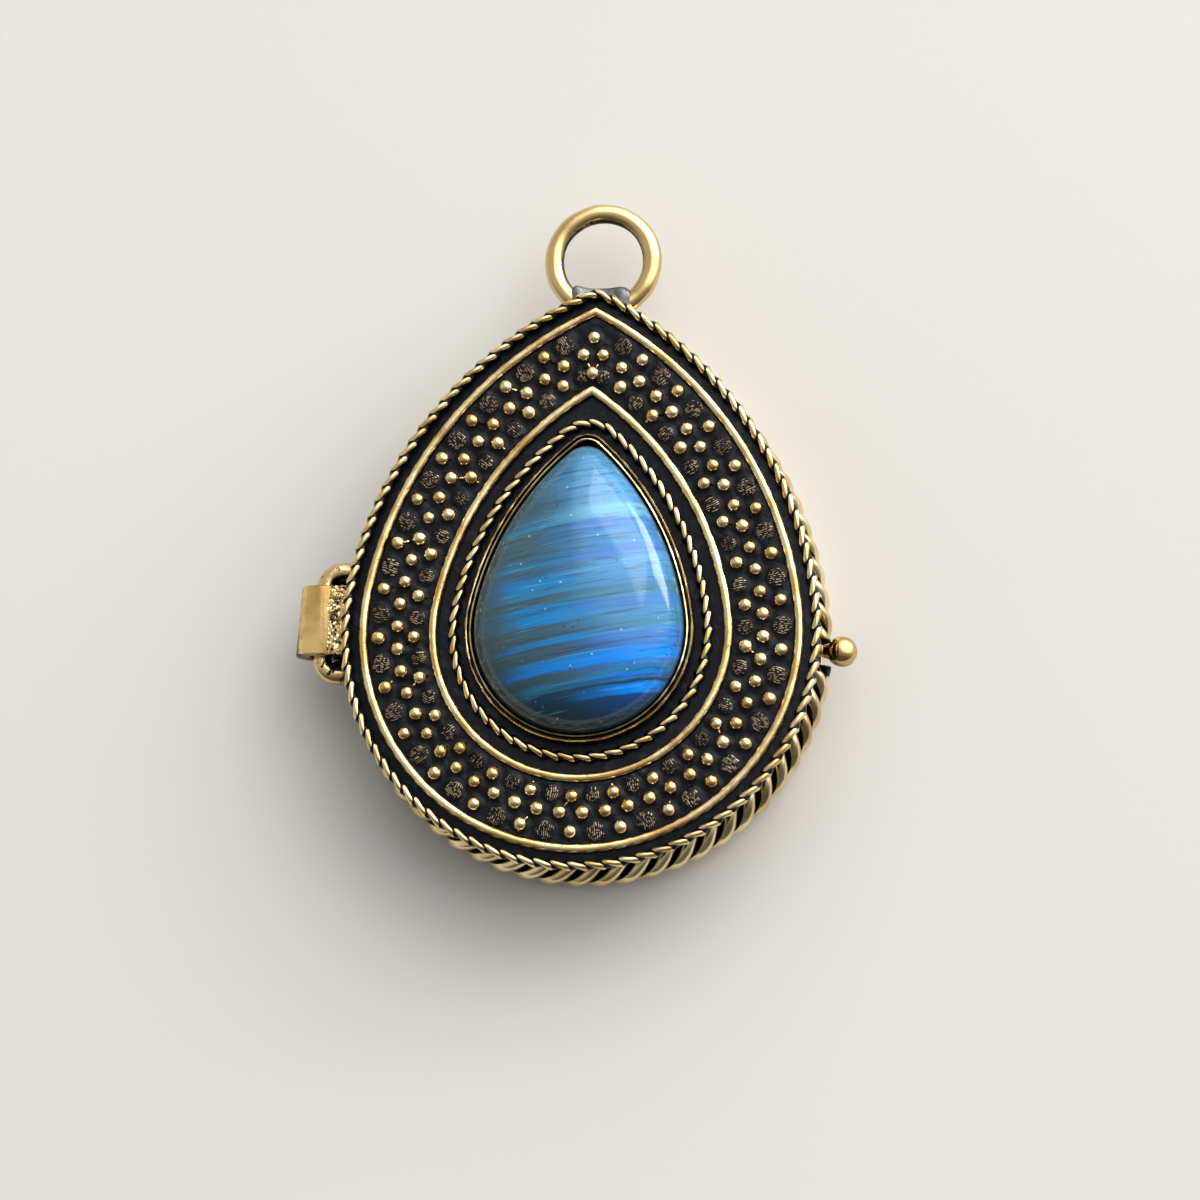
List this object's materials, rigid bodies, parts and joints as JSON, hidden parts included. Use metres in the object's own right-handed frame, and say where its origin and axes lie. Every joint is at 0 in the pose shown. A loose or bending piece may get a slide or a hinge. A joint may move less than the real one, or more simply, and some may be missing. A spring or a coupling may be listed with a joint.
{
  "type": "amulet box pendant",
  "caption": "Teardrop box pendant with a hinged lid that carries a set stone and granules, a push-ball catch and a bail ring.",
  "frame": {"origin": "centre of the teardrop's round end, on the back face", "axes": "+Z out of the back towards the stone, +Y from the round end towards the bail ring, +X towards the catch ball"},
  "size_m": [0.0477, 0.0588, 0.0147],
  "materials": {
    "worn_brass": "antiqued brass, tops rubbed bright",
    "polished_brass": "polished brass",
    "dark_brass": "oxidised brass, nearly black",
    "blue_stone": "polished blue labradorescent cabochon"
  },
  "bodies": {
    "case": {"back_plate": "worn_brass", "case_wall": "dark_brass", "inner_collar": "worn_brass", "case_rope": "dark_brass", "bail_ring": "polished_brass", "bail_saddle": "dark_brass", "hinge_loop": "polished_brass", "catch_bush": "worn_brass", "catch_spring": "worn_brass"},
    "lid": {"lid_plate": "dark_brass", "lid_skirt": "dark_brass", "lid_edge_rope": "worn_brass", "outer_border_wire": "worn_brass", "inner_border_wire": "worn_brass", "granule_field": "worn_brass", "stone_rope": "worn_brass", "bezel_collar": "worn_brass", "stone_bearing": "dark_brass", "stone": "blue_stone", "hinge_strap": "polished_brass", "catch_keeper": "worn_brass"},
    "catch": {"catch_ball": "polished_brass", "catch_stem": "worn_brass"}
  },
  "joints": [
    {"name": "lid_hinge", "type": "hinge", "parent": "case", "child": "lid", "pos_m": [-0.02245, 0.0006, 0.0061], "axis": [0, -1, 0], "range_deg": [0, 135]},
    {"name": "catch_push", "type": "slide", "parent": "case", "child": "catch", "axis": [-1, 0, 0], "range_m": [0, 0.0008], "stiffness_N_per_m": 800, "deforming": ["catch_spring"]}
  ]
}
